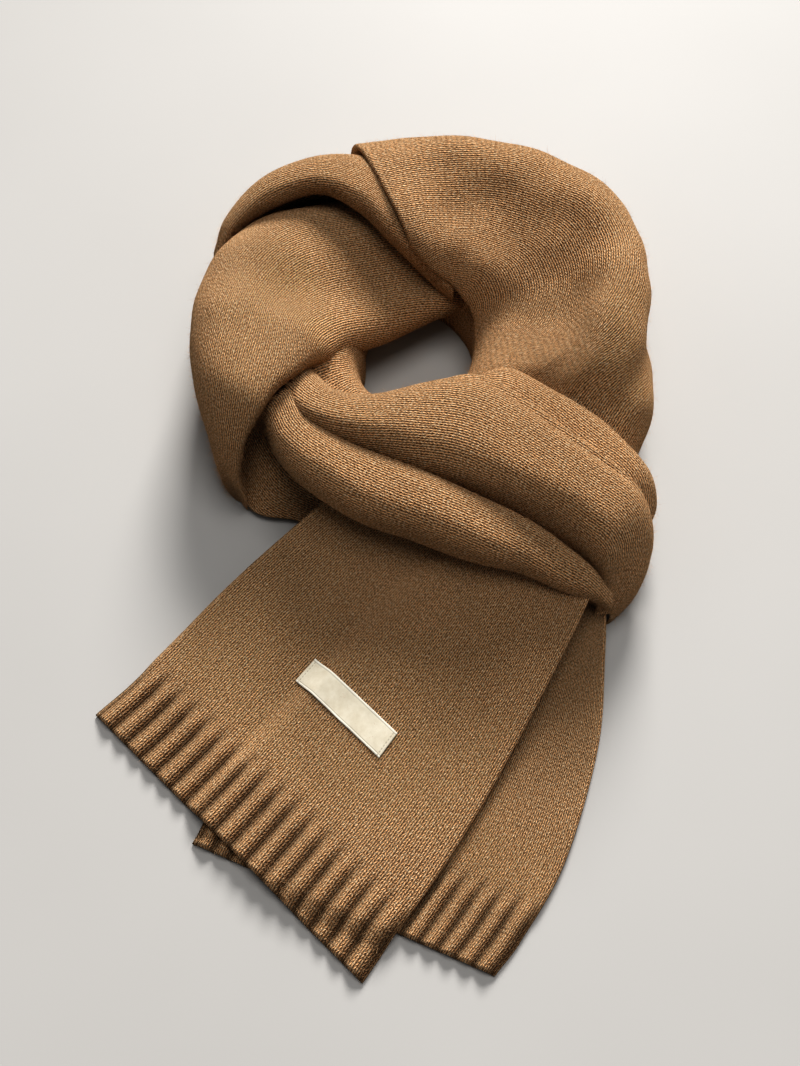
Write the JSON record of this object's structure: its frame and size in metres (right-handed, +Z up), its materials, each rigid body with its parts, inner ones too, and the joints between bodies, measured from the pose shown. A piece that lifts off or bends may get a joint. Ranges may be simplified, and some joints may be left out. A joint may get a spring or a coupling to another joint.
{
  "type": "knit scarf wound into a loop, lying flat",
  "caption": "Wool knit scarf wound once round itself into a loop, both ribbed ends pulled through and laid out, with a small blank woven label near one hem.",
  "frame": {"origin": "on the surface the scarf lies on, under the middle of its box", "axes": "+Z up; the scarf's longest reach lies along Y, with the loop at +Y and the two ribbed ends at -Y"},
  "size_m": [0.3423, 0.5484, 0.0902],
  "materials": {
    "knit": "camel wool, plain knit with a soft brushed nap",
    "label": "cream woven ribbon, satin weave"
  },
  "bodies": {
    "root": {"ring_left": "knit", "ring_top": "knit", "ring_right": "knit", "band_upper": "knit", "band_back": "knit", "band_lower": "knit", "band_return": "knit", "tail_front": "knit", "tail_rear": "knit", "core": "knit", "label": "label"}
  },
  "joints": []
}
